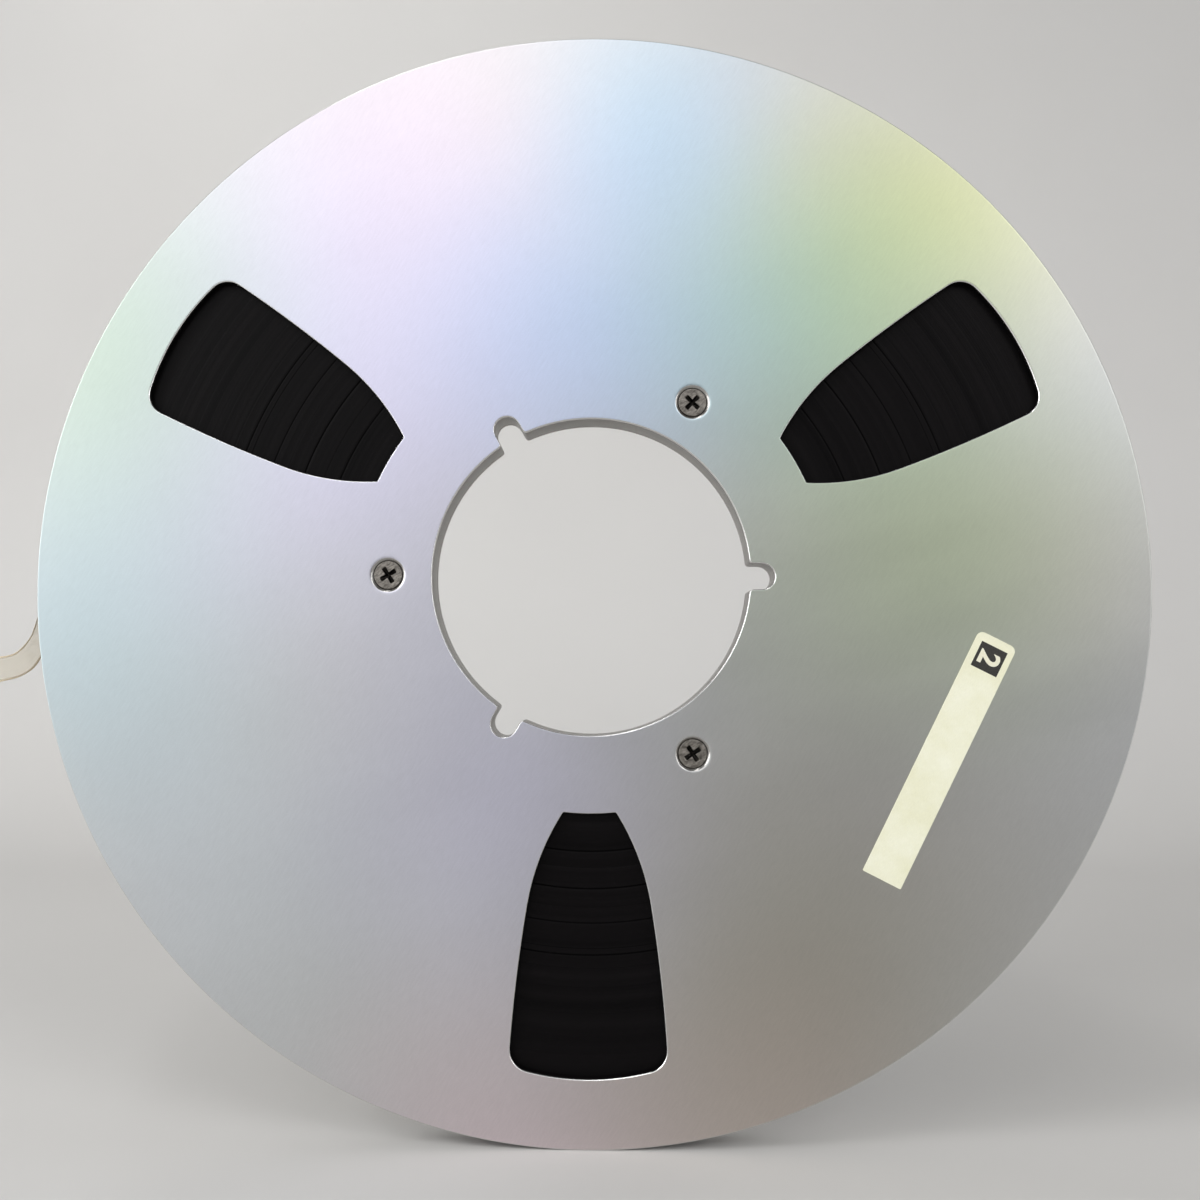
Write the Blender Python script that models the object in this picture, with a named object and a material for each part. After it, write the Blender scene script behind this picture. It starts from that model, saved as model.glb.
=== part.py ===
"""Full-size metal tape reel, wound full, with a short free end of leader film.

Two windowed aluminium flanges are screwed to a ring hub with a keyed bore, and the tape is wound on
the hub between them. The reel stands upright, as a wheel does: its axis is Y, the labelled front
looks towards -Y, and +Z is up. The origin is the middle of the bore, halfway between the flanges.
Lengths are in metres. Angles are in degrees, counterclockwise from +X as seen from the front.
"""

import math

import bmesh
import bpy
import numpy as np

MM = 0.001

# Tape, and what it sets
TAPE_WIDTH = 6.3 * MM
TAPE_PLAY = 1.1 * MM  # the hub is this much wider than the tape
HUB_WIDTH = TAPE_WIDTH + TAPE_PLAY

# Flanges: blanked discs with three windows
FLANGE_RADIUS = 133.35 * MM
FLANGE_THICK = 1.2 * MM
EDGE_BREAK = 0.2 * MM  # chamfer on every blanked edge
SEAT_GAP = 0.1 * MM  # hub to flange, where they are screwed together
FLANGE_INNER = HUB_WIDTH / 2 + SEAT_GAP  # distance of the flange's faces from the middle plane
FLANGE_OUTER = FLANGE_INNER + FLANGE_THICK

# Hub: a ring with the three-inch keyed bore
HUB_RADIUS = 57.15 * MM
BORE_RADIUS = 38.1 * MM
KEYWAY_WIDTH = 6.3 * MM
KEYWAY_DEPTH = 5.97 * MM  # bore's circle to the round end of a keyway
KEYWAY_ANGLES = (0.0, 120.0, 240.0)

# Windows: each is symmetric about its own radius
WINDOW_ANGLES = (30.0, 150.0, 270.0)
WINDOW_LAP = 0.75 * MM  # how far the inner end reaches in over the hub
RIM_BAND = 15.93 * MM  # rim to the windows' outer end
WINDOW_INNER = HUB_RADIUS - WINDOW_LAP
WINDOW_OUTER = FLANGE_RADIUS - RIM_BAND
THROAT_HALF_WIDTH = 6.2 * MM  # at the hub end
SHOULDER_RADIUS = 57.3 * MM
SHOULDER_START = 32.65  # slope of the side against the window's radius, at the hub end
SHOULDER_END = 9.31  # the same where the shoulder runs into the long skirt
SKIRT_RADIUS = 346.0 * MM
END_RADIUS = 59.0 * MM  # of the outer end, which bulges more than the rim does
CORNER_RADIUS = 5.03 * MM

# Screws: three flat-head machine screws from each side, in line with each other
SCREW_ANGLES = (60.0, 180.0, 300.0)
SCREW_INSET = 8.43 * MM  # hub's rim to the screw's axis
SCREW_CIRCLE = HUB_RADIUS - SCREW_INSET
HEAD_RADIUS = 3.55 * MM
HEAD_HALF_ANGLE = 41.0
HEAD_LAND = 0.1 * MM  # straight edge of the head above its cone
HEAD_SUNK = 0.35 * MM  # top of the head below the flange's face
SHANK_RADIUS = 1.75 * MM
TIPS_APART = 0.7 * MM  # between two screws that meet in one hole
SCREW_LENGTH = FLANGE_OUTER - HEAD_SUNK - TIPS_APART / 2
TIP_CHAMFER = 0.3 * MM
SCREW_GAP = 0.12 * MM  # all round the screw, in the flange and in the hub
LIP_RADIUS = 0.8 * MM  # rolled edge where the flange dips into the screw's seat
CROSS_SPAN = 3.7 * MM
CROSS_ARM = 0.95 * MM
CROSS_DEPTH = 1.5 * MM
CROSS_TAPER = 0.35  # size of the recess at its bottom against its mouth
CROSS_TURNS = (45.0, 32.5, 34.0)  # how far each screw happened to be driven

# Pack: wound full, with one turn of leader round it
PACK_INSET = 8.35 * MM  # flange's rim down to the pack
PACK_RADIUS = FLANGE_RADIUS - PACK_INSET
PACK_GAP = 0.15 * MM  # pack to hub
LINE_HEIGHTS = (7.85 * MM, 16.75 * MM, 24.75 * MM, 31.75 * MM)  # slack turns, above the hub
LINE_WIDTH = 0.4 * MM
LINE_DEPTH = 0.3 * MM
FILM_THICK = 0.12 * MM
FILM_GAP = 0.2 * MM  # pack to leader, and leader to leader
LEAVE_ANGLE = 163.5  # where the leader leaves the pack
WRAP_OPENING = 8.0  # arc left open between the two ends of the wrap
TAIL_GAP = 0.3 * MM  # between the wrap's end and the free tail

# Free tail: straight along the pack's tangent at LEAVE_ANGLE until it is past the rim, then free.
# Each point is a distance further along the tangent, and a distance out from it.
TAIL_PAST_RIM = 6.8 * MM
TAIL_ROUTE = [
    (along * MM, out * MM)
    for along, out in (
        (4.0, 0.25),
        (7.1, 1.4),
        (9.3, 3.65),
        (10.8, 6.45),
        (12.4, 9.25),
        (14.8, 11.7),
        (18.1, 13.2),
        (22.1, 13.65),
        (26.6, 13.25),
        (31.3, 12.4),
        (36.2, 11.15),
        (41.0, 9.7),
    )
]
TWIST_PEAK = 75.0
TWIST_EARLY = 0.7  # under 1 brings the twist's peak forward along the free part

# Label on the front flange, its long axis on a slant
LABEL_LENGTH = 63.1 * MM
LABEL_WIDTH = 9.85 * MM
LABEL_INSET = 40.31 * MM  # flange's rim to the label's centre
LABEL_BEARING = -27.52  # direction of the label's centre from the reel's axis
LABEL_SLANT = 63.37
LABEL_THICK = 0.12 * MM
LABEL_GAP = 0.05 * MM
LABEL_CORNER = 1.6 * MM  # on the two corners at the upper end

# Steps round a full turn
RIM_STEPS = 96
HUB_STEPS = 72
PACK_STEPS = 72
HOLE_STEPS = 20
FINE_STEPS = 6  # on short arcs
STRAIGHT_STEPS = 7  # along the straight part of the tail

FRONT, REAR = -1, 1


def unit(degrees):
    return np.array([math.cos(math.radians(degrees)), math.sin(math.radians(degrees))])


def arc(centre, radius, start, end, steps):
    """Points from start to end, in degrees, both included, on a circle in the XZ plane."""
    turn = np.radians(np.linspace(start, end, steps + 1))
    return np.asarray(centre) + radius * np.column_stack((np.cos(turn), np.sin(turn)))


def circle(radius, steps, centre=(0.0, 0.0)):
    return arc(centre, radius, 0.0, 360.0, steps)[:-1]


def turned(points, degrees):
    across = unit(degrees)
    return points @ np.array([across, (-across[1], across[0])])


def grown(outline, by):
    """The closed counterclockwise outline with each side moved out by this distance, corners mitred."""
    side = np.roll(outline, -1, axis=0) - outline
    normal = np.column_stack((side[:, 1], -side[:, 0])) / np.linalg.norm(side, axis=1)[:, None]
    before = np.roll(normal, 1, axis=0)
    mitre = (normal + before) / (1 + (normal * before).sum(axis=1))[:, None]
    return outline + by * mitre


def keyed_bore():
    """The bore's circle with a round-ended keyway at each of its angles."""
    half = KEYWAY_WIDTH / 2
    mouth = math.degrees(math.asin(half / BORE_RADIUS))
    end = arc((BORE_RADIUS + KEYWAY_DEPTH - half, 0.0), half, -90.0, 90.0, FINE_STEPS)
    pieces = []
    following = KEYWAY_ANGLES[1:] + (KEYWAY_ANGLES[0] + 360.0,)
    for angle, after in zip(KEYWAY_ANGLES, following):
        steps = round(RIM_STEPS * (after - angle) / 360.0)
        pieces.append(turned(end, angle))
        pieces.append(arc((0.0, 0.0), BORE_RADIUS, angle + mouth, after - mouth, steps))
    return np.concatenate(pieces)


def window():
    """A window about the +X axis: narrow at the hub, shoulders, long skirts and round outer corners."""
    throat = math.asin(THROAT_HALF_WIDTH / WINDOW_INNER)
    start = WINDOW_INNER * np.array([math.cos(throat), math.sin(throat)])
    shoulder_centre = start + SHOULDER_RADIUS * unit(SHOULDER_START - 90.0)
    shoulder = arc(
        shoulder_centre, SHOULDER_RADIUS, SHOULDER_END + 90.0, SHOULDER_START + 90.0, FINE_STEPS
    )
    skirt_centre = shoulder[0] + SKIRT_RADIUS * unit(SHOULDER_END - 90.0)
    end_centre = np.array([WINDOW_OUTER - END_RADIUS, 0.0])
    # The corner's circle touches the skirt and the outer end's arc from inside.
    reach = END_RADIUS - CORNER_RADIUS
    span = SKIRT_RADIUS - CORNER_RADIUS
    between = skirt_centre - end_centre
    apart = np.linalg.norm(between)
    foot = (reach**2 - span**2 + apart**2) / (2 * apart)
    rise = math.sqrt(reach**2 - foot**2)
    towards = between / apart
    corner_centre = end_centre + foot * towards + rise * np.array([-towards[1], towards[0]])
    skirt_end = math.degrees(math.atan2(*(corner_centre - skirt_centre)[::-1]))
    outer_end = math.degrees(math.atan2(*(corner_centre - end_centre)[::-1]))
    half = np.concatenate(
        (
            arc(end_centre, END_RADIUS, 0.0, outer_end, FINE_STEPS),
            arc(corner_centre, CORNER_RADIUS, outer_end, skirt_end, FINE_STEPS)[1:],
            arc(skirt_centre, SKIRT_RADIUS, skirt_end, SHOULDER_END + 90.0, FINE_STEPS)[1:],
            shoulder[1:],
            arc((0.0, 0.0), WINDOW_INNER, math.degrees(throat), 0.0, FINE_STEPS // 2)[1:],
        )
    )
    mirrored = half[::-1] * (1, -1)
    return np.concatenate((half, mirrored[1:-1]))


def wall(bm, stations):
    """Join equal closed outlines, each at its own y, into a wall. Returns its first and last edges."""
    loops = [[bm.verts.new((x, y, z)) for x, z in outline] for outline, y in stations]
    for first, second in zip(loops, loops[1:]):
        for i in range(len(first)):
            bm.faces.new((first[i - 1], first[i], second[i], second[i - 1]))
    ends = []
    for loop in (loops[0], loops[-1]):
        ends.append([bm.edges.get((loop[i - 1], loop[i])) for i in range(len(loop))])
    return ends


def fill(bm, *rings):
    """Close the flat region between these rings of edges."""
    edges = [edge for ring in rings for edge in ring]
    bmesh.ops.triangle_fill(bm, use_beauty=True, use_dissolve=False, edges=edges)


def material(name, colour, roughness, metallic):
    made = bpy.data.materials.new(name)
    made.use_nodes = True
    shader = made.node_tree.nodes["Principled BSDF"]
    shader.inputs["Base Color"].default_value = (*colour, 1.0)
    shader.inputs["Roughness"].default_value = roughness
    shader.inputs["Metallic"].default_value = metallic
    return made


def finished_mesh(name, bm, finish):
    bmesh.ops.recalc_face_normals(bm, faces=bm.faces)
    mesh = bpy.data.meshes.new(name)
    bm.to_mesh(mesh)
    bm.free()
    mesh.materials.append(finish)
    mesh.shade_smooth()
    mesh.set_sharp_from_angle(angle=math.radians(30.0))
    return mesh


def place(name, mesh, location=(0.0, 0.0, 0.0), rotation=(0.0, 0.0, 0.0)):
    obj = bpy.data.objects.new(name, mesh)
    obj.location = location
    obj.rotation_euler = rotation
    bpy.context.scene.collection.objects.link(obj)
    return obj


def broken_edges(outline, near, far, material_side):
    """Stations of a blanked edge from y near to y far. material_side is 1 for a hole, -1 outside."""
    step = math.copysign(EDGE_BREAK, far - near)
    eased = grown(outline, material_side * EDGE_BREAK)
    return [(eased, near), (outline, near + step), (outline, far - step), (eased, far)]


def screw_centre(angle):
    return SCREW_CIRCLE * unit(angle)


def seat_radius(depth):
    """Radius of the screw's conical seat at this depth under the flange's outer face."""
    below = depth - HEAD_SUNK - HEAD_LAND
    return HEAD_RADIUS + SCREW_GAP - below * math.tan(math.radians(HEAD_HALF_ANGLE))


def seat_in_flange(centre, side):
    """Stations of a screw's seat through a flange: a rolled lip at the outer face, then a cone."""
    roll = np.radians(np.linspace(0.0, 90.0 - HEAD_HALF_ANGLE, 4))
    depths = LIP_RADIUS * (1 - np.cos(roll))
    radii = seat_radius(depths[-1]) + LIP_RADIUS * (math.sin(roll[-1]) - np.sin(roll))
    stations = [*zip(radii, depths), (seat_radius(FLANGE_THICK), FLANGE_THICK)]
    return [
        (circle(radius, HOLE_STEPS, centre), side * (FLANGE_OUTER - depth))
        for radius, depth in stations
    ]


def hole_in_hub(centre):
    """Stations of a screw hole through the hub: a cone from each face, and the bore between them."""
    hole_radius = SHANK_RADIUS + SCREW_GAP
    face_radius = seat_radius(FLANGE_OUTER - HUB_WIDTH / 2)
    cone = (face_radius - hole_radius) / math.tan(math.radians(HEAD_HALF_ANGLE))
    face = HUB_WIDTH / 2
    wide = circle(face_radius, HOLE_STEPS, centre)
    narrow = circle(hole_radius, HOLE_STEPS, centre)
    return [(wide, -face), (narrow, cone - face), (narrow, face - cone), (wide, face)]


def make_flange(name, side, finish):
    near, far = side * FLANGE_OUTER, side * FLANGE_INNER
    bm = bmesh.new()
    walls = [wall(bm, broken_edges(circle(FLANGE_RADIUS, RIM_STEPS), near, far, -1))]
    walls.append(wall(bm, broken_edges(keyed_bore(), near, far, 1)))
    for angle in WINDOW_ANGLES:
        walls.append(wall(bm, broken_edges(turned(window(), angle), near, far, 1)))
    for angle in SCREW_ANGLES:
        walls.append(wall(bm, seat_in_flange(screw_centre(angle), side)))
    fill(bm, *(outer for outer, _ in walls))
    fill(bm, *(inner for _, inner in walls))
    return place(name, finished_mesh(name, bm, finish))


def make_hub(finish):
    near, far = -HUB_WIDTH / 2, HUB_WIDTH / 2
    bm = bmesh.new()
    walls = [wall(bm, broken_edges(circle(HUB_RADIUS, HUB_STEPS), near, far, -1))]
    walls.append(wall(bm, broken_edges(keyed_bore(), near, far, 1)))
    for angle in SCREW_ANGLES:
        walls.append(wall(bm, hole_in_hub(screw_centre(angle))))
    fill(bm, *(front for front, _ in walls))
    fill(bm, *(rear for _, rear in walls))
    return place("hub", finished_mesh("hub", bm, finish))


def cross(scale):
    """Outline of the driver's cross, counterclockwise, at this share of its mouth size."""
    arm, reach = CROSS_ARM / 2 * scale, CROSS_SPAN / 2 * scale
    tip = np.array([(reach, -arm), (reach, arm), (arm, arm)])
    return np.concatenate([turned(tip, quarter * 90.0) for quarter in range(4)])


def screw_mesh(finish):
    """A flat-head screw on the Y axis: top of the head at y = 0, shank towards +Y."""
    cone_end = HEAD_LAND + (HEAD_RADIUS - SHANK_RADIUS) / math.tan(math.radians(HEAD_HALF_ANGLE))
    profile = (
        (HEAD_RADIUS, 0.0),
        (HEAD_RADIUS, HEAD_LAND),
        (SHANK_RADIUS, cone_end),
        (SHANK_RADIUS, SCREW_LENGTH - TIP_CHAMFER),
        (SHANK_RADIUS - TIP_CHAMFER, SCREW_LENGTH),
    )
    bm = bmesh.new()
    head, tip = wall(bm, [(circle(radius, HOLE_STEPS), y) for radius, y in profile])
    mouth, bottom = wall(bm, [(cross(1.0), 0.0), (cross(CROSS_TAPER), CROSS_DEPTH)])
    fill(bm, head, mouth)
    fill(bm, bottom)
    fill(bm, tip)
    return finished_mesh("screw", bm, finish)


def make_screws(finish):
    """Three screws a side, driven in from the flange's outer face, each stopped at its own turn."""
    mesh = screw_mesh(finish)
    for side, word in ((FRONT, "front"), (REAR, "rear")):
        for number, (angle, driven) in enumerate(zip(SCREW_ANGLES, CROSS_TURNS), start=1):
            x, z = screw_centre(angle)
            turn_round = 0.0 if side == FRONT else math.pi
            place(
                f"{word}_screw_{number}",
                mesh,
                location=(x, side * (FLANGE_OUTER - HEAD_SUNK), z),
                rotation=(0.0, -math.radians(driven), turn_round),
            )


def make_tape_pack(finish):
    """The wound tape as one turned ring, with a fine groove at each slack turn, on both faces."""
    half = TAPE_WIDTH / 2
    face = [(HUB_RADIUS + PACK_GAP, half)]
    for height in LINE_HEIGHTS:
        radius = HUB_RADIUS + height
        face.append((radius - LINE_WIDTH / 2, half))
        face.append((radius, half - LINE_DEPTH))
        face.append((radius + LINE_WIDTH / 2, half))
    face.append((PACK_RADIUS, half))
    profile = [(radius, -y) for radius, y in face] + face[::-1]
    bm = bmesh.new()
    first, last = wall(bm, [(circle(radius, PACK_STEPS), y) for radius, y in profile])
    bmesh.ops.bridge_loops(bm, edges=first + last)
    return place("tape_pack", finished_mesh("tape_pack", bm, finish))


def ribbon(name, centres, across, finish):
    """A flat film along the centres. across is the unit direction of its width at each centre.

    The sides are split into triangles along diagonals that lie over each other on the two faces of
    the film, so that a twist leaves it equally thick all along.
    """
    along = np.gradient(centres, axis=0)
    along /= np.linalg.norm(along, axis=1)[:, None]
    normal = np.cross(along, across)
    half_width, half_thick = TAPE_WIDTH / 2, FILM_THICK / 2
    corners = ((1, 1), (1, -1), (-1, -1), (-1, 1))
    sections = np.stack(
        [centres + a * half_width * across + b * half_thick * normal for a, b in corners], axis=1
    )
    bm = bmesh.new()
    loops = [[bm.verts.new(point) for point in section] for section in sections]
    for first, second in zip(loops, loops[1:]):
        for i in range(4):
            start, end = (first, second) if i < 2 else (second, first)
            bm.faces.new((start[i - 1], start[i], end[i - 1]))
            bm.faces.new((end[i - 1], start[i], end[i]))
    bm.faces.new(loops[0])
    bm.faces.new(loops[-1])
    return place(name, finished_mesh(name, bm, finish))


def in_reel_plane(points):
    """Points of the XZ plane as points in space, on the tape's middle line."""
    return np.column_stack((points[:, 0], np.zeros(len(points)), points[:, 1]))


def wrap_radius(turns):
    """Radius of the leader's middle after this many turns, one film thickness more for each."""
    return PACK_RADIUS + FILM_GAP + FILM_THICK * (0.5 + turns)


def wrap_centres():
    """One open turn round the pack, counterclockwise, ending where the leader leaves it."""
    angles = np.linspace(LEAVE_ANGLE - 360.0 + WRAP_OPENING, LEAVE_ANGLE, PACK_STEPS)
    turns = (angles - angles[0]) / 360.0
    return in_reel_plane(
        np.array([wrap_radius(turn) * unit(angle) for angle, turn in zip(angles, turns)])
    )


def least_gap(centres, skip):
    """Least distance of the film to itself, between stations further apart than skip along it."""
    best = math.inf
    for i in range(len(centres) - skip):
        best = min(best, np.linalg.norm(centres[i + skip :] - centres[i], axis=1).min())
    return best - FILM_THICK


def make_leader_wrap(finish):
    centres = wrap_centres()
    across = np.tile((0.0, 1.0, 0.0), (len(centres), 1))
    gap = least_gap(centres, PACK_STEPS // 2)
    print(f"leader_wrap: 1 open turn, least gap to itself {gap / MM:.2f} mm")
    return ribbon("leader_wrap", centres, across, finish)


def smooth_curve(points):
    """Catmull-Rom curve through the points, in equal steps from each to the next."""
    padded = np.vstack((2 * points[0] - points[1], points, 2 * points[-1] - points[-2]))
    share = np.linspace(0.0, 1.0, FINE_STEPS, endpoint=False)[:, None]
    pieces = []
    for a, b, c, d in zip(padded, padded[1:], padded[2:], padded[3:]):
        pieces.append(
            b
            + share * (c - a) / 2
            + share**2 * (2 * a - 5 * b + 4 * c - d) / 2
            + share**3 * (3 * b - a - 3 * c + d) / 2
        )
    return np.vstack((*pieces, points[-1:]))


def straight_length():
    """How far the tail runs straight: from where it leaves the pack until it is past the rim."""
    leave = wrap_radius((360.0 - WRAP_OPENING) / 360.0)
    return math.sqrt(FLANGE_RADIUS**2 - leave**2) + TAIL_PAST_RIM


def tail_centres():
    """The free tail from just past the wrap's end, out between the flanges and down."""
    out = unit(LEAVE_ANGLE)
    tangent = unit(LEAVE_ANGLE + 90.0)
    leave = wrap_radius((360.0 - WRAP_OPENING) / 360.0) * out
    straight = np.linspace(TAIL_GAP, straight_length(), STRAIGHT_STEPS + 1)
    route = np.vstack(
        (
            np.column_stack((straight, np.zeros(len(straight)))),
            np.array(TAIL_ROUTE) + (straight[-1], 0.0),
        )
    )
    return in_reel_plane(smooth_curve(leave + route[:, :1] * tangent + route[:, 1:] * out))


def lengths_along(centres):
    steps = np.linalg.norm(np.diff(centres, axis=0), axis=1)
    return np.concatenate(([0.0], np.cumsum(steps)))


def make_leader_tail(finish):
    """The tail turns its face to the front once it is outside the flanges, then turns it back."""
    centres = tail_centres()
    run = lengths_along(centres)
    flat = straight_length() - TAIL_GAP
    share = np.clip((run - flat) / (run[-1] - flat), 0.0, 1.0)
    twist = np.radians(TWIST_PEAK) * np.sin(math.pi * share**TWIST_EARLY) ** 2
    along = np.gradient(centres, axis=0)
    along /= np.linalg.norm(along, axis=1)[:, None]
    side = np.array([0.0, 1.0, 0.0])
    in_plane = np.cross(along, side)
    across = np.cos(twist)[:, None] * side + np.sin(twist)[:, None] * in_plane
    print(f"leader_tail: {run[-1] / MM:.1f} mm long, {TAPE_WIDTH / MM:.1f} mm wide")
    return ribbon("leader_tail", centres, across, finish)


def label_outline():
    """The label about its own centre: square at the lower end, round corners at the upper end."""
    half_length, half_width = LABEL_LENGTH / 2, LABEL_WIDTH / 2
    along, across = half_length - LABEL_CORNER, half_width - LABEL_CORNER
    upper = arc((along, across), LABEL_CORNER, 0.0, 90.0, FINE_STEPS)
    lower = arc((along, -across), LABEL_CORNER, -90.0, 0.0, FINE_STEPS)
    square = np.array([(-half_length, half_width), (-half_length, -half_width)])
    return np.concatenate((lower, upper, square))


def make_label(finish):
    centre = (FLANGE_RADIUS - LABEL_INSET) * unit(LABEL_BEARING)
    outline = turned(label_outline(), LABEL_SLANT) + centre
    back = -(FLANGE_OUTER + LABEL_GAP)
    bm = bmesh.new()
    face, glued = wall(bm, [(outline, back - LABEL_THICK), (outline, back)])
    fill(bm, face)
    fill(bm, glued)
    return place("label", finished_mesh("label", bm, finish))


def main():
    for obj in list(bpy.data.objects):
        bpy.data.objects.remove(obj)
    satin = material("satin aluminium", (0.70, 0.75, 0.78), 0.38, 1.0)
    turned_metal = material("turned aluminium", (0.62, 0.62, 0.61), 0.42, 1.0)
    nickel = material("nickelled steel", (0.33, 0.32, 0.30), 0.45, 1.0)
    tape = material("black coated tape", (0.012, 0.011, 0.012), 0.40, 0.0)
    film = material("cream film", (0.72, 0.62, 0.47), 0.30, 0.0)
    paper = material("cream paper", (0.80, 0.74, 0.60), 0.85, 0.0)
    make_flange("front_flange", FRONT, satin)
    make_flange("rear_flange", REAR, satin)
    make_hub(turned_metal)
    make_screws(nickel)
    make_tape_pack(tape)
    make_leader_wrap(film)
    make_leader_tail(film)
    make_label(paper)


main()
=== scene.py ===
# %% [markdown]
# # A full-size tape reel, wound full and standing on its rim
#
# Two thin aluminium discs, each with three windows and a keyed bore, are screwed to a ring hub, and
# black tape is wound on the hub between them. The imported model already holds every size. This
# lesson loads it as a fixed frame and then lays finer surfaces and real finishes over its solids.

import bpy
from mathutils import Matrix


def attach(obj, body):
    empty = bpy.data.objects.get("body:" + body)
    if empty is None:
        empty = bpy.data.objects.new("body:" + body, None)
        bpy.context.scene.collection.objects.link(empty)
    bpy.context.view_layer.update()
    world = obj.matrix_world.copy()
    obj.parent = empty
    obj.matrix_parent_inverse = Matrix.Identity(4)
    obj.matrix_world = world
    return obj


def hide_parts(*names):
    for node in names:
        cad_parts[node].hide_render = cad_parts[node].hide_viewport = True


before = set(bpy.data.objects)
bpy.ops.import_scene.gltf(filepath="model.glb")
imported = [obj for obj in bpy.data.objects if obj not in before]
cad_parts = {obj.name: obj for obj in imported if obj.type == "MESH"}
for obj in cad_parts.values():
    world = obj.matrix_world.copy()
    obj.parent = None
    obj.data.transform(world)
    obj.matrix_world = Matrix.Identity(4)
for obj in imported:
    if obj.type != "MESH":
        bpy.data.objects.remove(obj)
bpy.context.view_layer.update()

import bmesh
import bpy
import numpy as np
from mathutils import Matrix, Vector
from mathutils.geometry import delaunay_2d_cdt

MM = 0.001

# %% [markdown]
# ## Camera
#
# The camera stands where the photographer did: close in front, a little below the middle of the
# reel, tipped up by less than four degrees. A camera can be placed with a Track To constraint, but
# its roll is known here too, so its three axes are written straight into its matrix.

# %% Camera in front of the reel
def aimed(location, look, up):
    """Matrix of an object whose -Z axis looks along look, with its Y axis as near to up as can be."""
    back = -Vector(look).normalized()
    right = Vector(up).cross(back).normalized()
    placed = Matrix((right, back.cross(right), back)).transposed().to_4x4()
    placed.translation = Vector(location)
    return placed


lens = bpy.data.cameras.new("camera")
lens.lens = 32.4
lens.sensor_width = 36.0
lens.clip_start = 0.01
camera = bpy.data.objects.new("camera", lens)
EYE, LOOK, UP = (0.00571, -0.26228, -0.02289), (-0.0135, 0.9977, 0.0661), (-0.0039, -0.0662, 0.9978)
camera.matrix_world = aimed(EYE, LOOK, UP)
bpy.context.scene.collection.objects.link(camera)
bpy.context.scene.camera = camera
print("camera at", [round(c, 4) for c in camera.matrix_world.translation])

# %% [markdown]
# ## Route of the leader
#
# The outermost turn of film on the pack is leader, and its free end comes out between the discs at
# the left. It runs straight along the pack's tangent until it is past the rim, springs outwards,
# and hangs down with a twist. Its route is the one that its solid follows, so that the film stays
# in that place: a few chosen points, joined by a smooth curve.

# %% Route of the film on the pack and off it
FLANGE_RADIUS = 133.35 * MM
PACK_RADIUS = 125.0 * MM
TAPE_WIDTH = 6.3 * MM
FILM_THICK = 0.12 * MM
LEAVE_ANGLE = 163.5
WRAP_OPENING = 8.0
FREE_ROUTE = np.array(
    [
        (4.0, 0.25), (7.1, 1.4), (9.3, 3.65), (10.8, 6.45), (12.4, 9.25), (14.8, 11.7),
        (18.1, 13.2), (22.1, 13.65), (26.6, 13.25), (31.3, 12.4), (36.2, 11.15), (41.0, 9.7),
    ]
) * MM  # along the tangent past the rim, and out from it


def unit(degrees):
    """Unit directions in the plane of the reel, counterclockwise from +X as seen from the front."""
    turn = np.radians(degrees)
    return np.stack((np.cos(turn), np.sin(turn)), axis=-1)


def in_plane(flat, y=0.0):
    """Points (x, z) of the reel's plane as points in space at this y."""
    flat = np.asarray(flat)
    return np.stack((flat[..., 0], np.broadcast_to(y, flat.shape[:-1]), flat[..., 1]), axis=-1)


def smooth_run(points, steps):
    """Cubic from each point to the next, whose slope at a point is half the way between its neighbours."""
    padded = np.vstack((2 * points[0] - points[1], points, 2 * points[-1] - points[-2]))
    a, b, c, d = padded[:-3], padded[1:-2], padded[2:-1], padded[3:]
    t = np.linspace(0.0, 1.0, steps, endpoint=False)[:, None, None]
    spans = b + t * (c - a) / 2 + t**2 * (2 * a - 5 * b + 4 * c - d) / 2
    spans = spans + t**3 * (3 * b - a - 3 * c + d) / 2
    return np.vstack((spans.transpose(1, 0, 2).reshape(-1, points.shape[1]), points[-1:]))


def wrap_radius(turns):
    """The film's middle starts 0.26 mm above the pack and climbs one thickness in a turn."""
    return PACK_RADIUS + 0.2 * MM + FILM_THICK * (0.5 + turns)


def run_lengths(line):
    """Distance along a line of points, at each point."""
    return np.concatenate(([0.0], np.cumsum(np.linalg.norm(np.diff(line, axis=0), axis=1))))


wrap_turns = np.linspace(0.0, (360.0 - WRAP_OPENING) / 360.0, 353)
wrap_line = in_plane(
    wrap_radius(wrap_turns)[:, None] * unit(LEAVE_ANGLE - 360.0 * (wrap_turns[-1] - wrap_turns))
)
leave_radius = wrap_radius(wrap_turns[-1])
straight_end = np.sqrt(FLANGE_RADIUS**2 - leave_radius**2) + 6.8 * MM
straight = np.linspace(0.3 * MM, straight_end, 8)
chosen = np.vstack(
    (np.column_stack((straight, np.zeros(8))), FREE_ROUTE + np.array([straight_end, 0.0]))
)
tail_line = in_plane(
    leave_radius * unit(LEAVE_ANGLE)
    + smooth_run(chosen[:, :1] * unit(LEAVE_ANGLE + 90.0) + chosen[:, 1:] * unit(LEAVE_ANGLE), 12)
)
tail_run = run_lengths(tail_line)
print(f"leader: {len(tail_line)} points, {tail_run[-1] / MM:.1f} mm of free end")

# %% [markdown]
# ## From arrays to objects
#
# Each surface below is worked out as an array of points, row by row. One helper numbers the quads of
# such a grid, and another puts points and faces into a mesh, turns the faces outwards if the volume
# they enclose comes out negative, and lets the piece ride on the reel in place of its plain solids.

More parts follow.
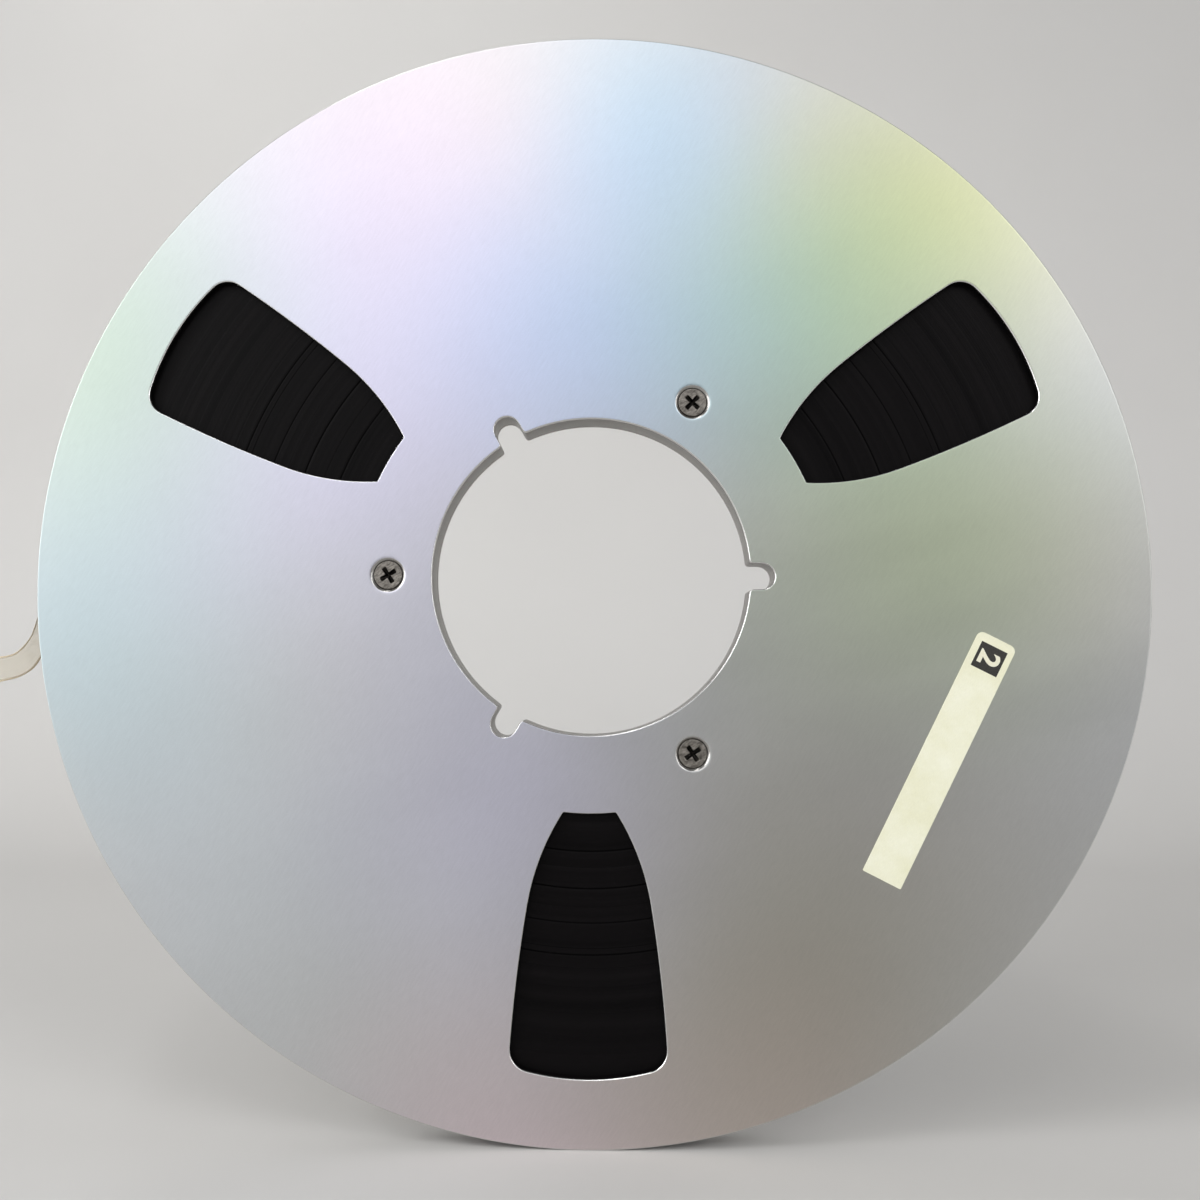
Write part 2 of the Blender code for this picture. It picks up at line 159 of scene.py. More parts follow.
# %% Helpers for grids and pieces
def quads(rows, columns, first=0, closed_rows=False, closed_columns=True):
    """Corner numbers of a grid's quads: point (i, j) is number first + i * columns + j."""
    number = first + np.arange(rows * columns).reshape(rows, columns)
    if closed_rows:
        number = np.vstack((number, number[:1]))
    if closed_columns:
        number = np.hstack((number, number[:, :1]))
    corners = (number[:-1, :-1], number[:-1, 1:], number[1:, 1:], number[1:, :-1])
    return np.stack(corners, axis=-1).reshape(-1, 4)


def enclosed_volume(points, faces):
    """Sum of the signed cones from the origin to each face, taken as a fan of triangles."""
    total = 0.0
    for group in faces:
        a = points[group[:, 0]]
        for k in range(1, group.shape[1] - 1):
            b, c = points[group[:, k]], points[group[:, k + 1]]
            total += np.einsum("ij,ij->", a, np.cross(b, c)) / 6
    return total


def piece(name, points, faces, finish, slot, *solids):
    """A mesh piece of the reel. faces is a list of arrays of corner numbers, one for each face size."""
    points = np.asarray(points, float).reshape(-1, 3)
    volume = enclosed_volume(points, faces)
    if volume < 0:
        faces = [group[:, ::-1] for group in faces]
    mesh = bpy.data.meshes.new(name)
    mesh.from_pydata(points.tolist(), [], [corner for group in faces for corner in group.tolist()])
    mesh.shade_smooth()
    mesh.materials.append(finish)
    made = bpy.data.objects.new(name, mesh)
    bpy.context.scene.collection.objects.link(made)
    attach(made, "root")
    if solids:
        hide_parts(*solids)
    print(f"{name}: {len(mesh.polygons)} faces, {abs(volume) / MM**3:.1f} cubic mm")
    return made


# %% [markdown]
# ## Finishes
#
# A finish is a Principled shader fed by a few texture nodes. All of them read Object coordinates,
# so that a pattern stays on its piece and keeps its real scale. A number that is the same all over
# a surface is typed on the shader's own socket.

# %% Helpers for node finishes
def new_finish(name, colour, roughness, metallic=0.0, **constants):
    """A material with these constants on its shader, as (material, its node tree, its shader)."""
    made = bpy.data.materials.new(name)
    made.use_nodes = True
    tree = made.node_tree
    shader = tree.nodes["Principled BSDF"]
    shader.inputs["Base Color"].default_value = (*colour, 1.0)
    shader.inputs["Roughness"].default_value = roughness
    shader.inputs["Metallic"].default_value = metallic
    for socket, value in constants.items():
        shader.inputs[socket.replace("_", " ")].default_value = value
    made.diffuse_color = (*colour, 1.0)
    return made, tree, shader


def node(tree, kind, feeds=None, **settings):
    """A node of this kind, whose inputs, by name or number, are fed with values or other sockets."""
    made = tree.nodes.new("ShaderNode" + kind)
    for key, value in settings.items():
        setattr(made, key, value)
    for key, value in (feeds or {}).items():
        if isinstance(value, bpy.types.NodeSocket):
            tree.links.new(value, made.inputs[key])
        else:
            made.inputs[key].default_value = value
    return made


def object_place(tree):
    return node(tree, "TexCoord").outputs["Object"]


def stretched(tree, place, degrees, along, across):
    """Coordinates turned in the reel's plane and measured in grains of this length and width."""
    turned = node(
        tree,
        "Mapping",
        {"Vector": place, "Rotation": (0.0, -np.radians(degrees), 0.0), "Scale": (along, across, across)},
        vector_type="TEXTURE",
    )
    return turned.outputs["Vector"]


def noise(tree, place, scale, detail=2.0, roughness=0.5):
    made = node(
        tree, "TexNoise", {"Vector": place, "Scale": scale, "Detail": detail, "Roughness": roughness}
    )
    return made.outputs["Fac"]


def ranged(tree, value, low, high, to_low, to_high, smooth=False):
    """value from low to high brought to the range from to_low to to_high, and held there."""
    made = node(
        tree,
        "MapRange",
        {"Value": value, "From Min": low, "From Max": high, "To Min": to_low, "To Max": to_high},
        interpolation_type="SMOOTHSTEP" if smooth else "LINEAR",
    )
    return made.outputs["Result"]


def mixed(tree, factor, first, second, blend="MIX"):
    made = node(
        tree, "Mix", {"Factor": factor}, data_type="RGBA", blend_type=blend, clamp_result=False
    )
    for number, colour in ((6, first), (7, second)):
        if isinstance(colour, bpy.types.NodeSocket):
            tree.links.new(colour, made.inputs[number])
        else:
            made.inputs[number].default_value = (*colour, 1.0)
    return made.outputs[2]


def sums(tree, operation, first, second=0.0):
    return node(tree, "Math", {0: first, 1: second}, operation=operation).outputs[0]


def mottled(tree, texture, first, second, low=0.3, high=0.7):
    """The first colour where the texture is low, the second where it is high."""
    return mixed(tree, ranged(tree, texture, low, high, 0.0, 1.0), first, second)


def toned(tree, colour, tone):
    """The colour made lighter or darker by a factor."""
    grey = node(tree, "CombineColor", {0: tone, 1: tone, 2: tone}).outputs[0]
    return mixed(tree, 1.0, colour, grey, "MULTIPLY")


def distance(tree, place, centre):
    return node(tree, "VectorMath", {0: place, 1: centre}, operation="DISTANCE").outputs["Value"]


def along_y(tree, vector):
    return node(tree, "SeparateXYZ", {0: vector}).outputs["Y"]


def blended(tree, factor, first, second):
    """A number between two numbers."""
    return node(tree, "Mix", {"Factor": factor, "A": first, "B": second}).outputs["Result"]


def bumped(tree, shader, height, distance, strength=1.0):
    """Tilts the shading by this height, where 1 is distance metres."""
    made = node(tree, "Bump", {"Height": height, "Distance": distance, "Strength": strength})
    tree.links.new(made.outputs["Normal"], shader.inputs["Normal"])


# %% [markdown]
# ## Satin anodised aluminium
#
# The discs are etched sheet under a thin clear oxide. Up close the sheet shows the mill's rolling
# grain, which runs up to the right at about 58 degrees. The metal is tinted softly from place to
# place: rose and blue at the top, green and straw at the upper right, sea green down the left side.
# A thin-film shader would make such colours slide with the view, so they are laid on as a few wide,
# faint clouds. Two clouds are painted light: a dark brown one at the lower right is painted shade,
# and a light one at the right rim is a painted highlight. A few dark specks and a wiped smudge are
# the wear it has. The tumbled edges shine more than the faces, which is told from the direction they
# face, and the cut walls below them are darker, which is told from their depth; the dimples' walls
# are darker too. That darkening is partly the duller bare cut metal and partly painted shade in the
# holes and dimples.

# %% Aluminium of the discs
SATIN_GREY = (0.60, 0.607, 0.612)
TUMBLED_GREY, CUT_WALL_SHADE_GREY, DIMPLE_SHADE_GREY = (0.76, 0.76, 0.75), (0.34, 0.325, 0.31), (0.42, 0.41, 0.395)
SATIN_ROUGHNESS, TUMBLED_ROUGHNESS = 0.40, 0.26
SPECK_BROWN = (0.13, 0.12, 0.11)
SCREW_ANGLES, SCREW_CIRCLE = (60.0, 180.0, 300.0), 48.72 * MM
GRAIN_ANGLE = 58.0
TINT_AND_SHADE_CLOUDS = (  # x, z, reach in mm, and the tint at the middle
    (-52, 48, 96, (1.02, 0.98, 1.20)),
    (8, 62, 66, (0.84, 1.00, 1.17)),
    (-46, 114, 66, (1.10, 0.99, 1.04)),
    (16, 114, 44, (0.85, 1.00, 1.14)),
    (56, 64, 62, (0.84, 1.02, 0.86)),
    (86, 94, 64, (1.02, 1.02, 0.66)),
    (84, 10, 70, (0.93, 1.02, 0.76)),
    (-118, 56, 68, (0.79, 0.92, 0.77)),
    (-126, -14, 72, (0.83, 0.96, 1.00)),
    (-18, -54, 70, (1.00, 0.98, 1.14)),
    (30, -10, 60, (0.97, 0.99, 0.94)),
    # painted shade: this dark brown cloud darkens the lower right of the disc
    (54, -88, 92, (0.72, 0.688, 0.618)),
    # painted highlight: this light cloud brightens the right rim
    (120, 2, 40, (1.12, 1.08, 1.08)),
    (-88, -66, 60, (0.97, 1.01, 1.05)),
    (-22, -134, 62, (1.11, 0.97, 1.00)),
    (40, -128, 60, (1.04, 0.94, 0.90)),
)


def satin_aluminium(name, mirrored=False):
    made, tree, shader = new_finish(name, SATIN_GREY, SATIN_ROUGHNESS, 1.0)
    place = object_place(tree)
    colour = SATIN_GREY
    for x, z, reach, tint in TINT_AND_SHADE_CLOUDS:
        centre = ((-x if mirrored else x) * MM, 0.0, z * MM)
        share = ranged(tree, distance(tree, place, centre), 0.0, reach * MM, 1.0, 0.0, smooth=True)
        colour = mixed(tree, share, colour, mixed(tree, 1.0, colour, tint, "MULTIPLY"))
    grain = noise(tree, stretched(tree, place, GRAIN_ANGLE, 3.0 * MM, 0.45 * MM), 1.0, 3.0, 0.6)
    etch = noise(tree, place, 3200.0, 2.0, 0.6)
    texture = sums(tree, "ADD", sums(tree, "MULTIPLY", grain, 0.6), sums(tree, "MULTIPLY", etch, 0.4))
    shade = ranged(tree, texture, 0.3, 0.7, 0.955, 1.045)
    cloudy = ranged(tree, noise(tree, place, 22.0, 3.0, 0.55), 0.3, 0.7, 0.985, 1.015)
    colour = toned(tree, colour, sums(tree, "MULTIPLY", shade, cloudy))
    cells = node(tree, "TexVoronoi", {"Vector": place, "Scale": 42.0}, voronoi_dimensions="3D")
    speck = ranged(tree, cells.outputs["Distance"], 0.010, 0.016, 1.0, 0.0)
    rare = ranged(tree, cells.outputs["Color"], 0.80, 0.81, 0.0, 1.0)
    colour = mixed(tree, sums(tree, "MULTIPLY", speck, rare), colour, SPECK_BROWN)
    smudge = noise(tree, stretched(tree, place, 20.0, 40.0 * MM, 16.0 * MM), 1.0, 4.0, 0.6)
    rough = ranged(tree, smudge, 0.35, 0.68, 0.392, 0.418)
    facing = sums(tree, "ABSOLUTE", along_y(tree, node(tree, "TexCoord").outputs["Normal"]))
    edge = ranged(tree, facing, 0.96, 0.90, 0.0, 1.0)
    # partly painted shade: deeper in the holes the walls take a darker grey, and so do the dimples' walls;
    # bare cut metal is duller, the rest is shade painted in
    outer = ranged(tree, sums(tree, "ABSOLUTE", along_y(tree, place)), 4.45 * MM, 4.70 * MM, 0.0, 1.0)
    edge_colour = mixed(tree, outer, CUT_WALL_SHADE_GREY, TUMBLED_GREY)
    for angle in SCREW_ANGLES:
        x, z = SCREW_CIRCLE * unit(angle)
        dimple = ranged(tree, distance(tree, place, (x, 0.0, z)), 8.0 * MM, 8.2 * MM, 1.0, 0.0)
        edge_colour = mixed(tree, dimple, edge_colour, DIMPLE_SHADE_GREY)
    tree.links.new(mixed(tree, edge, colour, edge_colour), shader.inputs["Base Color"])
    tree.links.new(blended(tree, edge, rough, TUMBLED_ROUGHNESS), shader.inputs["Roughness"])
    bumped(tree, shader, texture, 0.006 * MM)
    return made


front_aluminium = satin_aluminium("front_satin_aluminium")
rear_aluminium = satin_aluminium("rear_satin_aluminium", mirrored=True)
# the clouds are tints, and two of them are painted shade and a painted highlight
print("tint and shade clouds:", len(TINT_AND_SHADE_CLOUDS))

# %% [markdown]
# ## Outlines of the blanked holes
#
# The discs are punched from sheet and tumbled, so every corner of a hole is a little round. Each
# outline is drawn from arcs, spaced out evenly, and then blurred along itself by a fraction of a
# millimetre. A Bevel modifier could round the corners too, but the blur does every kind at once.

# %% Outlines: rim, keyed bore, windows
BORE_RADIUS = 38.1 * MM
KEYWAY_HALF = 3.15 * MM
KEYWAY_REACH = 44.07 * MM
KEYWAY_ANGLES = (0.0, 120.0, 240.0)
WINDOW_ANGLES = (30.0, 150.0, 270.0)
WINDOW_INNER, WINDOW_OUTER = 56.4 * MM, 117.42 * MM


def arc(centre, radius, start, end, steps=48):
    """Points from start to end, in degrees, both included, on a circle about centre."""
    return np.asarray(centre) + radius * unit(np.linspace(start, end, steps + 1))


def turned(points, degrees):
    """Points turned counterclockwise about the reel's axis."""
    across = unit(degrees)
    return points @ np.array([across, (-across[1], across[0])])


def eased(points, step, corner):
    """The closed outline at equal steps, blurred along itself by a Gaussian of width corner."""
    closed = np.vstack((points, points[:1]))
    run = run_lengths(closed)
    count = int(round(run[-1] / step))
    at = np.arange(count) * run[-1] / count
    even = np.column_stack([np.interp(at, run, closed[:, k]) for k in (0, 1)])
    pitch = np.fft.fftfreq(count, d=run[-1] / count)
    kept = np.exp(-2 * (np.pi * corner * pitch) ** 2)[:, None]
    return np.fft.ifft(np.fft.fft(even, axis=0) * kept, axis=0).real


def outward(outline):
    """Unit normals of a closed counterclockwise outline, square to the line through the neighbours."""
    along = np.roll(outline, -1, axis=0) - np.roll(outline, 1, axis=0)
    along /= np.linalg.norm(along, axis=1)[:, None]
    return np.column_stack((along[:, 1], -along[:, 0]))


def keyed_bore():
    """A circle with a round-ended slot at each keyway's angle."""
    mouth = np.degrees(np.arcsin(KEYWAY_HALF / BORE_RADIUS))
    end = arc((KEYWAY_REACH - KEYWAY_HALF, 0.0), KEYWAY_HALF, -90.0, 90.0)
    between = arc((0.0, 0.0), BORE_RADIUS, mouth, 120.0 - mouth, 200)
    return np.vstack([turned(np.vstack((end, between)), angle) for angle in KEYWAY_ANGLES])


def window():
    """Half a window about +X: outer end, corner, skirt, shoulder and throat, all arcs, then its mirror.

    The corner's circle touches the end's and the skirt's from inside, so its centre is where two
    circles about their centres meet, each smaller than its own by the corner's radius.
    """
    shoulder_radius, skirt_radius = 57.3 * MM, 346.0 * MM
    end_radius, corner_radius = 59.0 * MM, 5.03 * MM
    throat_half_width = 6.2 * MM
    shoulder_start, shoulder_end = 32.65, 9.31  # slopes of the edge against the window's axis, in degrees
    throat = np.degrees(np.arcsin(throat_half_width / WINDOW_INNER))
    shoulder_centre = WINDOW_INNER * unit(throat) + shoulder_radius * unit(shoulder_start - 90.0)
    shoulder = arc(shoulder_centre, shoulder_radius, shoulder_end + 90.0, shoulder_start + 90.0)
    skirt_centre = shoulder[0] + skirt_radius * unit(shoulder_end - 90.0)
    end_centre = np.array([WINDOW_OUTER - end_radius, 0.0])
    reach, span = end_radius - corner_radius, skirt_radius - corner_radius
    between = skirt_centre - end_centre
    apart = np.linalg.norm(between)
    towards = between / apart
    foot = (reach**2 - span**2 + apart**2) / (2 * apart)
    rise = np.sqrt(reach**2 - foot**2)
    corner = end_centre + foot * towards + rise * np.array([-towards[1], towards[0]])
    skirt_end = np.degrees(np.arctan2(*(corner - skirt_centre)[::-1]))
    outer_end = np.degrees(np.arctan2(*(corner - end_centre)[::-1]))
    half = np.vstack(
        (
            arc(end_centre, end_radius, 0.0, outer_end),
            arc(corner, corner_radius, outer_end, skirt_end)[1:],
            arc(skirt_centre, skirt_radius, skirt_end, shoulder_end + 90.0)[1:],
            shoulder[1:],
            arc((0.0, 0.0), WINDOW_INNER, throat, 0.0)[1:],
        )
    )
    return np.vstack((half, (half[::-1] * (1, -1))[1:-1]))


rim_outline = arc((0.0, 0.0), FLANGE_RADIUS, 0.0, 360.0, 1080)[:-1]
bore_outline = eased(keyed_bore(), 0.3 * MM, 0.56 * MM)
window_outlines = [turned(eased(window(), 0.4 * MM, 0.16 * MM), angle) for angle in WINDOW_ANGLES]
print("points round bore and window:", len(bore_outline), len(window_outlines[0]))

# %% [markdown]
# ## The two discs
#
# A disc is 1.2 mm of sheet. Its edges are broken by a small round with a flat in its middle, carried
# along each outline as a profile: one row of points for each step of the profile, moved into the
# metal from the outline along its normal. The screws' seats are rolled dimples, which are turned
# profiles. What is left is flat, and a Delaunay triangulation that keeps to the outlines fills it.
# A narrow flat band next to each edge holds the smooth shading still, so that the flat looks flat.

# %% A plate from its edges
FLANGE_INNER, FLANGE_OUTER = 3.8 * MM, 5.0 * MM


def broken_edge(reach):
    """(distance into the metal, depth) over a quarter round, cut in the middle by a 45 degree flat."""
    radius = 0.7 * reach
    turn = np.radians([0.0, 15.0, 30.0, 45.0, 45.0, 60.0, 75.0, 90.0])
    past_flat = np.repeat((0.0, reach - radius), 4)
    into = reach - radius * np.sin(turn) - past_flat
    return np.column_stack((into, radius * (1 - np.cos(turn)) + past_flat))


def edge_profile(near, far, reaches, band):
    """(distance into the metal, y) from the near face, over both broken edges, to the far face."""
    towards = np.sign(far - near)
    start, finish = broken_edge(reaches[0]), broken_edge(reaches[1])
    start[:, 1] = near + towards * start[:, 1]
    finish[:, 1] = far - towards * finish[:, 1]
    return np.vstack(((reaches[0] + band, near), start, finish[::-1], (reaches[1] + band, far)))


def edge_wall(outline, profile, hole):
    """Row i of the wall is the outline moved into the metal by profile i's distance, at its y."""
    into = outward(outline) * (1.0 if hole else -1.0)
    return in_plane(outline + profile[:, :1, None] * into, profile[:, 1:])


def turned_wall(centre, radii, ys, steps):
    """Circles about centre, one for each radius and y."""
    circles = np.asarray(radii)[:, None, None] * unit(np.arange(steps) * 360.0 / steps)
    return in_plane(np.asarray(centre) + circles, np.asarray(ys)[:, None])


def filled(walls, row):
    """Triangles over the flat between one row of every wall, the first wall being outermost.

    A triangle whose corners all lie on one outline is inside that outline if they come in the
    outline's own order. Inside the first outline there is metal, and inside the others a hole.
    """
    rings = [wall[row][:, (0, 2)] / MM for wall in walls]
    counts = np.array([len(ring) for ring in rings])
    firsts = np.cumsum(counts) - counts
    ring_of = np.repeat(np.arange(len(rings)), counts)
    links = [
        first + np.stack((np.arange(n), np.roll(np.arange(n), -1)), 1) for first, n in zip(firsts, counts)
    ]
    found = delaunay_2d_cdt(
        [Vector(corner) for corner in np.vstack(rings).tolist()], np.vstack(links).tolist(), [], 0, 1e-6
    )
    given = np.array([sources[0] for sources in found[3]])
    corners = given[np.array(found[2])]
    one_ring = (ring_of[corners] == ring_of[corners[:, :1]]).all(axis=1)
    in_order = (np.roll(corners, -1, axis=1) > corners).sum(axis=1) == 2
    kept = corners[~one_ring | (in_order == (ring_of[corners[:, 0]] == 0))]
    rows = np.array([wall.shape[0] for wall in walls])
    starts = np.cumsum(rows * counts) - rows * counts
    numbers = [start + row % n * count + np.arange(count) for start, n, count in zip(starts, rows, counts)]
    return np.concatenate(numbers)[kept]


def plate(name, walls, finish, slot, *solids):
    """A plate closed from its walls, outermost first, whose end rows bound its two flat faces."""
    faces, first = [], 0
    for wall in walls:
        grid = quads(*wall.shape[:2], first)
        faces.append(grid[:, ::-1] if first == 0 else grid)
        first += wall.shape[0] * wall.shape[1]
    points = np.vstack([wall.reshape(-1, 3) for wall in walls])
    ends = [filled(walls, 0), filled(walls, -1)[:, ::-1]]
    if points[ends[0][0, 0], 1] > points[ends[1][0, 0], 1]:
        faces = [grid[:, ::-1] for grid in faces]
        ends = [end[:, ::-1] for end in ends]
    return piece(name, points, [np.vstack(faces), np.vstack(ends)], finish, slot, *solids)


# %% Seats of the screws, and the discs
HEAD_RADIUS = 3.55 * MM
HEAD_SLOPE = np.tan(np.radians(41.0))
SEAT_RADIUS = HEAD_RADIUS + 0.12 * MM
SEAT_DEPTH = 0.45 * MM  # how deep the seat's cone has that radius
LIP = 1.0 * MM
DISC_EDGES = (0.28 * MM, 0.15 * MM)  # reach of the edge at the outer face and at the inner one


def seat_profile(side):
    """(radius, y) of a dimple: a flat band, a rolled lip of 49 degrees, then the cone to the hub."""
    roll = np.radians(np.linspace(0.0, 49.0, 9))
    depth = LIP * (1 - np.cos(roll))
    cone_top = SEAT_RADIUS - (depth[-1] - SEAT_DEPTH) * HEAD_SLOPE
    radius = cone_top + LIP * (np.sin(roll[-1]) - np.sin(roll))
    cone = np.array([0.6, 0.85, 1.0]) * (FLANGE_OUTER - FLANGE_INNER)
    cone_radius = SEAT_RADIUS - (cone - SEAT_DEPTH) * HEAD_SLOPE
    radii = np.concatenate(([radius[0] + 0.5 * MM], radius, cone_radius))
    return radii, side * (FLANGE_OUTER - np.concatenate(([0.0], depth, cone)))


def disc(name, side, finish, slot, *solids):
    outer, inner = side * FLANGE_OUTER, side * FLANGE_INNER
    profile = edge_profile(outer, inner, DISC_EDGES, 0.3 * MM)
    bore_profile = edge_profile(outer, inner, DISC_EDGES, 0.12 * MM)
    walls = [edge_wall(rim_outline, profile, hole=False)]
    walls.append(edge_wall(bore_outline, bore_profile, hole=True))
    walls += [edge_wall(outline, profile, hole=True) for outline in window_outlines]
    radii, ys = seat_profile(side)
    walls += [turned_wall(SCREW_CIRCLE * unit(angle), radii, ys, 96) for angle in SCREW_ANGLES]
    return plate(name, walls, finish, slot, *solids)


disc("front_disc", -1, front_aluminium, "flange_aluminium", "front_flange")
disc("rear_disc", 1, rear_aluminium, "flange_aluminium", "rear_flange")

# %% [markdown]
# ## Hub
#
# The hub is a turned ring. Only the wall of its keyed bore shows, between the discs' edges, and it
# carries the fine lines of the cutting tool. They run round the bore, so they change only with y: a
# noise squeezed hard along that axis gives them.

# %% Turned ring between the discs
# painted shade: the hub's grey is much darker than turned aluminium, for the shadowed wall of the bore
HUB_SHADED_GREY = (0.30, 0.288, 0.275)
hub_metal, hub_tree, hub_shader = new_finish("turned_hub_aluminium", HUB_SHADED_GREY, 0.40, 1.0)
hub_place = object_place(hub_tree)
blotches = noise(hub_tree, stretched(hub_tree, hub_place, 0.0, 30.0 * MM, 30.0 * MM), 1.0, 2.0)
squeezed = node(hub_tree, "Mapping", {"Vector": hub_place, "Scale": (40.0, 9000.0, 40.0)})
cut = noise(hub_tree, squeezed.outputs["Vector"], 1.0, 3.0, 0.6)
hub_tone = ranged(hub_tree, sums(hub_tree, "ADD", cut, blotches), 0.7, 1.3, 0.85, 1.1)
hub_tree.links.new(toned(hub_tree, HUB_SHADED_GREY, hub_tone), hub_shader.inputs["Base Color"])
bumped(hub_tree, hub_shader, cut, 0.01 * MM)

HUB_RADIUS, HUB_HALF = 56.3 * MM, 3.7 * MM
hub_edges = edge_profile(-HUB_HALF, HUB_HALF, (0.2 * MM, 0.2 * MM), 0.12 * MM)
tapped_radii = np.array([2.92, 1.87, 1.87, 2.92]) * MM  # wide mouths clear the screws' cones
tapped_ys = np.array([-3.7, -2.5, 2.5, 3.7]) * MM
hub_walls = [
    edge_wall(arc((0.0, 0.0), HUB_RADIUS, 0.0, 360.0, 360)[:-1], hub_edges, hole=False),
    edge_wall(bore_outline, hub_edges, hole=True),
]
hub_walls += [
    turned_wall(SCREW_CIRCLE * unit(angle), tapped_radii, tapped_ys, 48) for angle in SCREW_ANGLES
]
plate("ring_hub", hub_walls, hub_metal, "hub_aluminium", "hub")

# %% [markdown]
# ## Flat-head screws
#
# Each screw has a flat head sunk in its dimple, with a cross recess that a driver has worn. The
# whole screw is one grid: angle round the screw by station along its surface. In the recess a
# station is the cross outline at some size and depth, on the head it is a blend from that cross to
# a circle, and on the cone and shank it is a circle.

# %% Nickel plate and the screws
nickel, nickel_tree, nickel_shader = new_finish("dull_nickel_plate", (0.36, 0.34, 0.32), 0.40, 1.0)
nickel_place = object_place(nickel_tree)
scratches = noise(
    nickel_tree, stretched(nickel_tree, nickel_place, 35.0, 1.2 * MM, 0.13 * MM), 1.0, 3.0, 0.65
)
patches = noise(nickel_tree, nickel_place, 900.0, 3.0, 0.6)
scratched = sums(nickel_tree, "MULTIPLY", scratches, 0.6)
worn = sums(nickel_tree, "ADD", scratched, sums(nickel_tree, "MULTIPLY", patches, 0.4))
DULL_NICKEL, BARE_NICKEL = (0.105, 0.095, 0.083), (0.40, 0.372, 0.338)
RECESS_SHADE_BLACK = (0.02, 0.018, 0.016)
nickel_colour = mottled(nickel_tree, worn, DULL_NICKEL, BARE_NICKEL, 0.40, 0.62)
off_middle = sums(nickel_tree, "ABSOLUTE", along_y(nickel_tree, nickel_place))
# painted shade: the cross recess turns near black with depth below the head's top
sunk = ranged(nickel_tree, off_middle, 4.50 * MM, 4.32 * MM, 0.0, 0.95)
nickel_colour = mixed(nickel_tree, sunk, nickel_colour, RECESS_SHADE_BLACK)
nickel_tree.links.new(nickel_colour, nickel_shader.inputs["Base Color"])
nickel_tree.links.new(
    ranged(nickel_tree, patches, 0.3, 0.7, 0.34, 0.5), nickel_shader.inputs["Roughness"]
)
bumped(nickel_tree, nickel_shader, worn, 0.03 * MM)

CROSS_TURNS = (45.0, 32.5, 34.0)
SCREW_TOP = 4.52 * MM
SCREW_STEPS = 288


def cross_reach(degrees):
    """Polar radius of the cross: the nearer of an arm's flaring side and its end, corners blurred."""
    folded = np.radians(np.abs((degrees + 45.0) % 90.0 - 45.0))
    side = 0.47 * MM / np.maximum(np.sin(folded) - 0.06 * np.cos(folded), 1e-6)
    end = 2.2 * MM / np.cos(folded)
    reach = np.minimum(side, end)
    pitch = np.fft.fftfreq(len(reach), d=360.0 / len(reach))
    return np.fft.ifft(np.fft.fft(reach) * np.exp(-2 * (np.pi * 3.2 * pitch) ** 2)).real


def screw(name, side, angle, driven, solid):
    """Rows run from the bottom of the recess up over the head and down to the tip of the shank.

    recess holds (share of the cross outline, depth), and turned_part (radius, depth), both in mm.
    """
    around = np.arange(SCREW_STEPS) * 360.0 / SCREW_STEPS
    cross = cross_reach(around)
    recess = [(0.32, 1.5), (0.60, 0.9), (0.86, 0.35), (0.97, 0.08), (1.03, 0.0)]
    rows = [(size * cross, depth * MM) for size, depth in recess]
    rows += [((1 - t) * 1.03 * cross + t * 3.22 * MM, 0.0) for t in (0.06, 0.3, 0.55, 0.8, 0.97, 1.0)]
    turned_part = [
        (3.34, 0.05), (3.40, 0.13), (3.38, 0.2), (1.78, 2.05), (1.75, 2.12), (1.75, 3.85), (1.45, 4.15)
    ]
    rows += [(np.full(SCREW_STEPS, radius * MM), depth * MM) for radius, depth in turned_part]
    radii = np.array([radius for radius, _ in rows])
    depths = np.array([depth for _, depth in rows])
    flat = SCREW_CIRCLE * unit(angle) + radii[..., None] * unit(around + driven)
    points = in_plane(flat, side * (SCREW_TOP - depths)[:, None])
    rim = np.arange(SCREW_STEPS)
    caps = np.vstack((rim[::-1], (len(rows) - 1) * SCREW_STEPS + rim))
    return piece(name, points, [quads(len(rows), SCREW_STEPS), caps], nickel, "screw_nickel", solid)


for side, word in ((-1, "front"), (1, "rear")):
    for number, (angle, driven) in enumerate(zip(SCREW_ANGLES, CROSS_TURNS), start=1):
        screw(f"{word}_flat_head_{number}", side, angle, driven, f"{word}_screw_{number}")

# %% [markdown]
# ## Wound tape
#
# Some hundreds of metres of back-coated tape lie edge on edge, and the eye sees a black ring with
# fine circles: turns that stand a few hundredths of a millimetre high or low, and a few slack turns
# that read as dark lines. The pack is a turned surface whose profile is that relief. The dark lines
# are painted shade: the colour goes to black at each slack turn. The dark lines and the finest
# circles depend on the distance from the axis alone, so that number drives them.

# %% Black tape
tape_black, tape_tree, tape_shader = new_finish(
    "black_coated_tape", (0.0024, 0.0020, 0.0022), 0.42, Specular_IOR_Level=0.07
)
tape_place = object_place(tape_tree)
flattened = node(
    tape_tree, "VectorMath", {0: tape_place, 1: (1.0, 0.0, 1.0)}, operation="MULTIPLY"
).outputs["Vector"]
from_axis = node(tape_tree, "VectorMath", {0: flattened}, operation="LENGTH").outputs["Value"]


def ring_noise(scale, detail, roughness):
    """Noise that changes with the distance from the axis alone."""
    feeds = {"W": from_axis, "Scale": scale, "Detail": detail, "Roughness": roughness}
    return node(tape_tree, "TexNoise", feeds, noise_dimensions="1D").outputs["Fac"]


